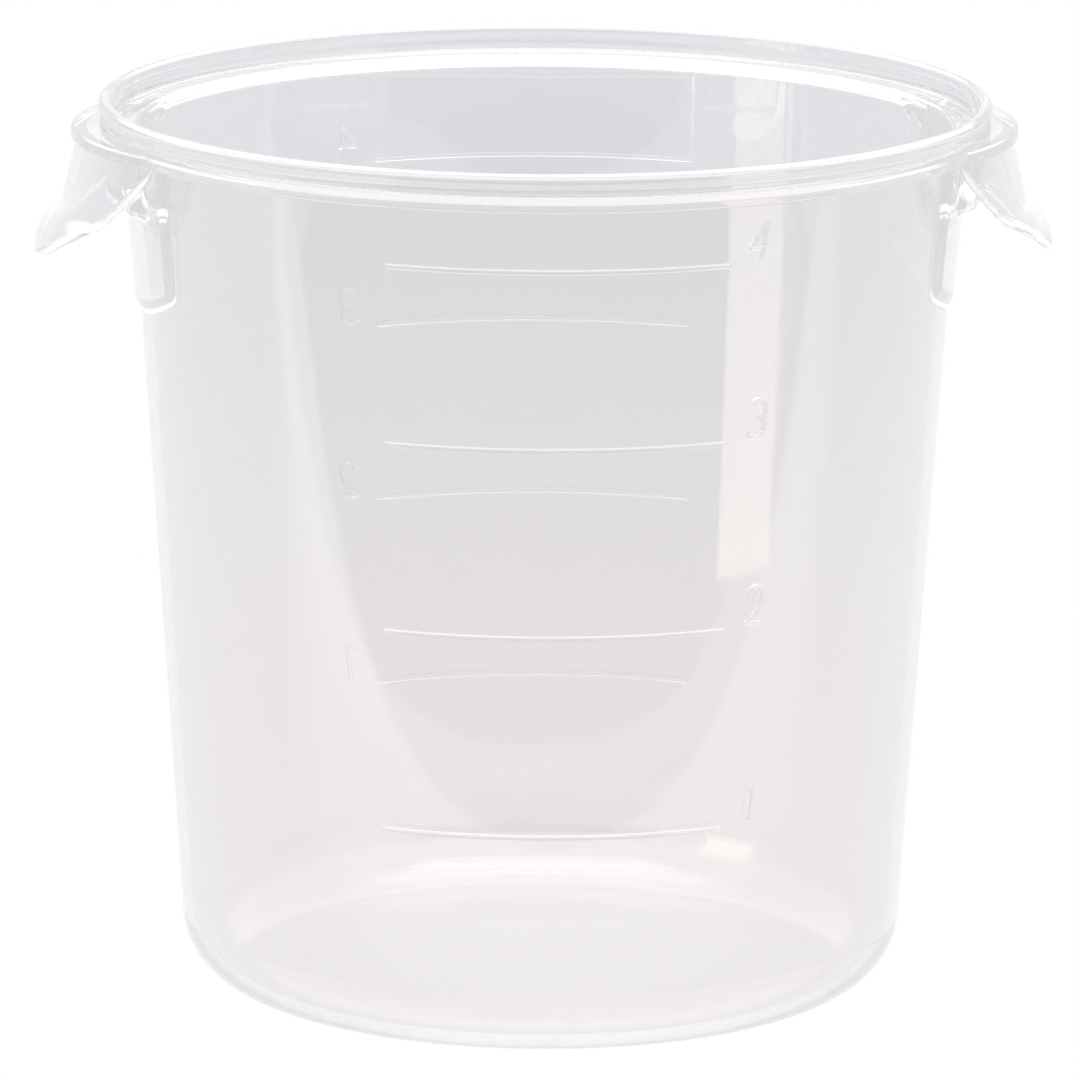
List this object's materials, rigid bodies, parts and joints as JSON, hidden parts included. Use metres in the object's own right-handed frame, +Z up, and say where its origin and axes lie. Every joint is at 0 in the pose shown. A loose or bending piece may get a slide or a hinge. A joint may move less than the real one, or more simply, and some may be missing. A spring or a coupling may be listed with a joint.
{
  "type": "dough proofing container",
  "caption": "Clear round straight-sided tub with a flanged rim, a lifting ear on each side and raised level lines with plain numerals.",
  "frame": {"origin": "centre of the underside, on the surface that the container stands on", "axes": "+Z up along the container's axis, +X towards the right ear, -Y towards the front, which carries the litre scale"},
  "size_m": [0.2296, 0.201, 0.203],
  "materials": {
    "clear_polycarbonate": "clear injection-moulded polycarbonate, polished"
  },
  "bodies": {
    "root": {"floor": "clear_polycarbonate", "heel": "clear_polycarbonate", "wall": "clear_polycarbonate", "rim_flange": "clear_polycarbonate", "rim_lip": "clear_polycarbonate", "left_ear": "clear_polycarbonate", "right_ear": "clear_polycarbonate", "left_ear_pad": "clear_polycarbonate", "right_ear_pad": "clear_polycarbonate", "front_level_line_1": "clear_polycarbonate", "front_level_line_2": "clear_polycarbonate", "front_level_line_3": "clear_polycarbonate", "front_level_line_4": "clear_polycarbonate", "back_level_line_1": "clear_polycarbonate", "back_level_line_2": "clear_polycarbonate", "back_level_line_3": "clear_polycarbonate", "back_level_line_4": "clear_polycarbonate", "front_numeral_1": "clear_polycarbonate", "front_numeral_2": "clear_polycarbonate", "front_numeral_3": "clear_polycarbonate", "front_numeral_4": "clear_polycarbonate", "back_numeral_1": "clear_polycarbonate", "back_numeral_2": "clear_polycarbonate", "back_numeral_3": "clear_polycarbonate", "back_numeral_4": "clear_polycarbonate"}
  },
  "joints": []
}
